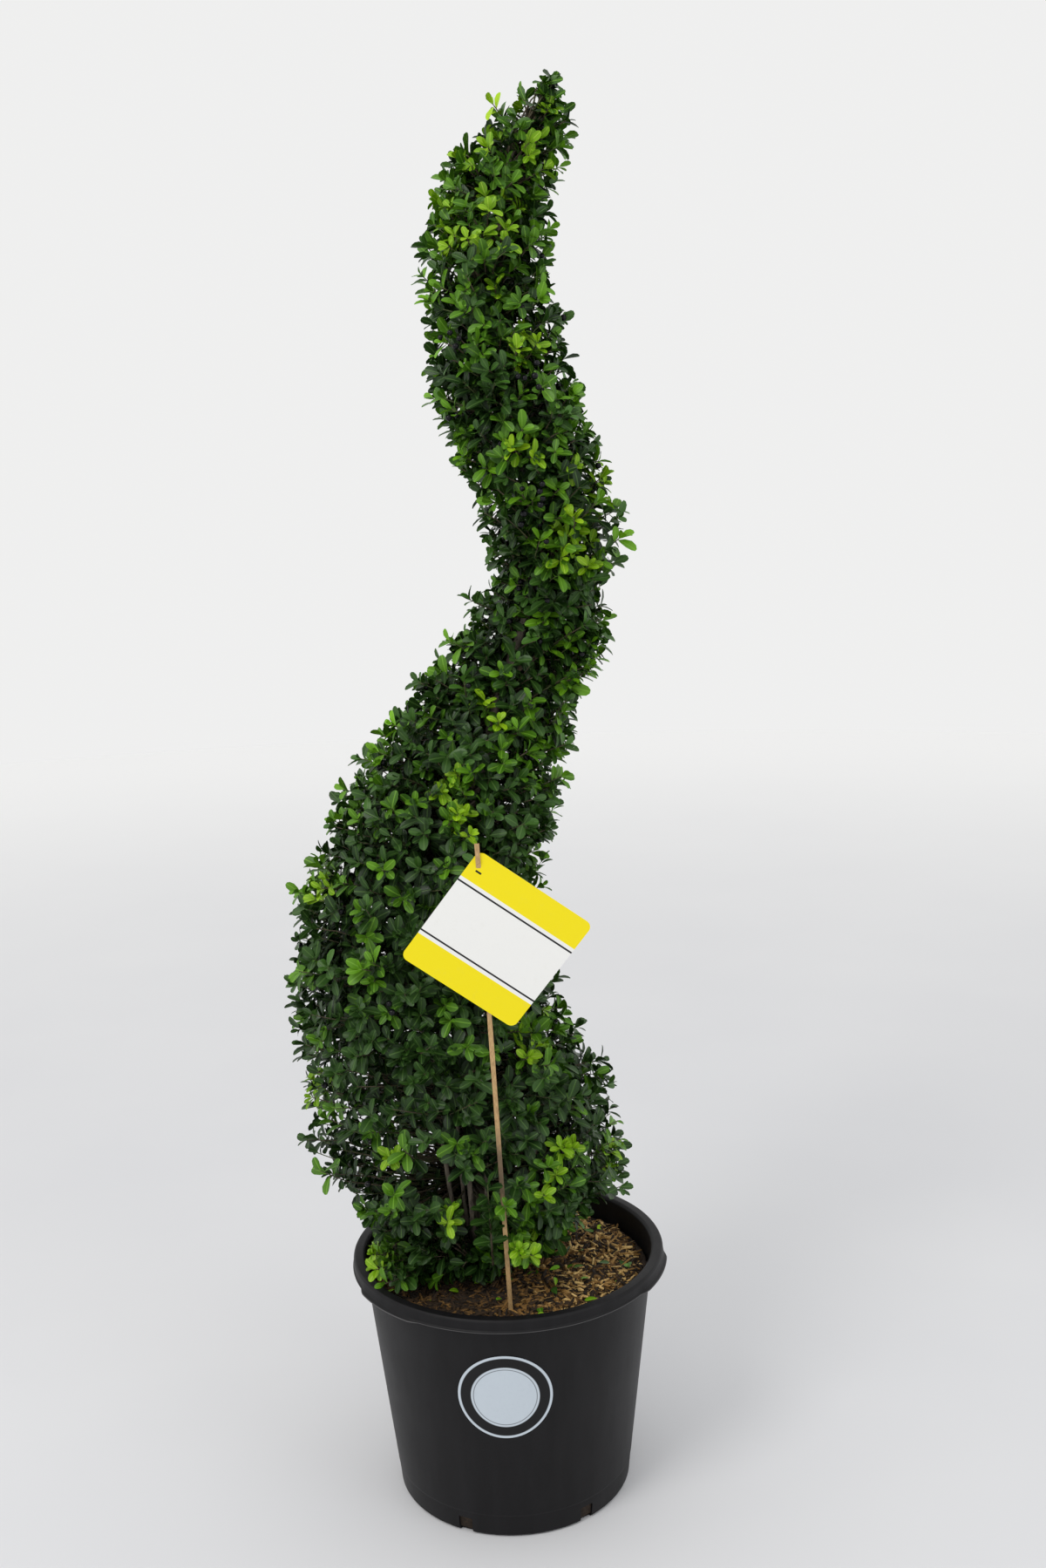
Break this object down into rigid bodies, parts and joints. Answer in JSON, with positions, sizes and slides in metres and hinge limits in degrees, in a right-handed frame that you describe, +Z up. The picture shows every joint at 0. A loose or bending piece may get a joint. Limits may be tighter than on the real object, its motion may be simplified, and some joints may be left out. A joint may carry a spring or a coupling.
{
  "type": "potted japanese holly spiral",
  "caption": "Evergreen shrub clipped as one rising spiral of small glossy leaves, in a round black nursery pot with a plant label.",
  "frame": {"origin": "middle of the pot's flat underside", "axes": "+Z up, -Y towards the front with the labels, +X to the right seen from the front"},
  "size_m": [0.4513, 0.3954, 1.6449],
  "materials": {
    "pot": "charcoal black moulded plastic, slightly satin",
    "pot_label": "pale blue-grey printed film with a dark ring",
    "soil": "brown potting mix of bark and coir chips",
    "bark": "grey-brown bark, finely ridged",
    "foliage": "small glossy dark green leaves with bright young tips",
    "stick": "split tan cane",
    "card": "printed plastic card, yellow and white"
  },
  "bodies": {
    "root": {"pot": "pot", "pot_label": "pot_label", "soil": "soil", "trunk": "bark", "bough_back_right": "bark", "bough_back_left": "bark", "bough_front_left": "bark", "bough_front_right": "bark", "bough_foot_left": "bark", "bough_foot_front": "bark", "bough_foot_right": "bark", "bough_foot_back": "bark", "foliage_top_back": "foliage", "foliage_top_left": "foliage", "foliage_upper_front": "foliage", "foliage_upper_right": "foliage", "foliage_middle_back": "foliage", "foliage_middle_left": "foliage", "foliage_lower_left": "foliage", "foliage_lower_front": "foliage", "foliage_foot_left": "foliage", "foliage_foot_front": "foliage", "foliage_foot_right": "foliage", "foliage_foot_back": "foliage", "label_stick": "stick", "label_card": "card"}
  },
  "joints": []
}
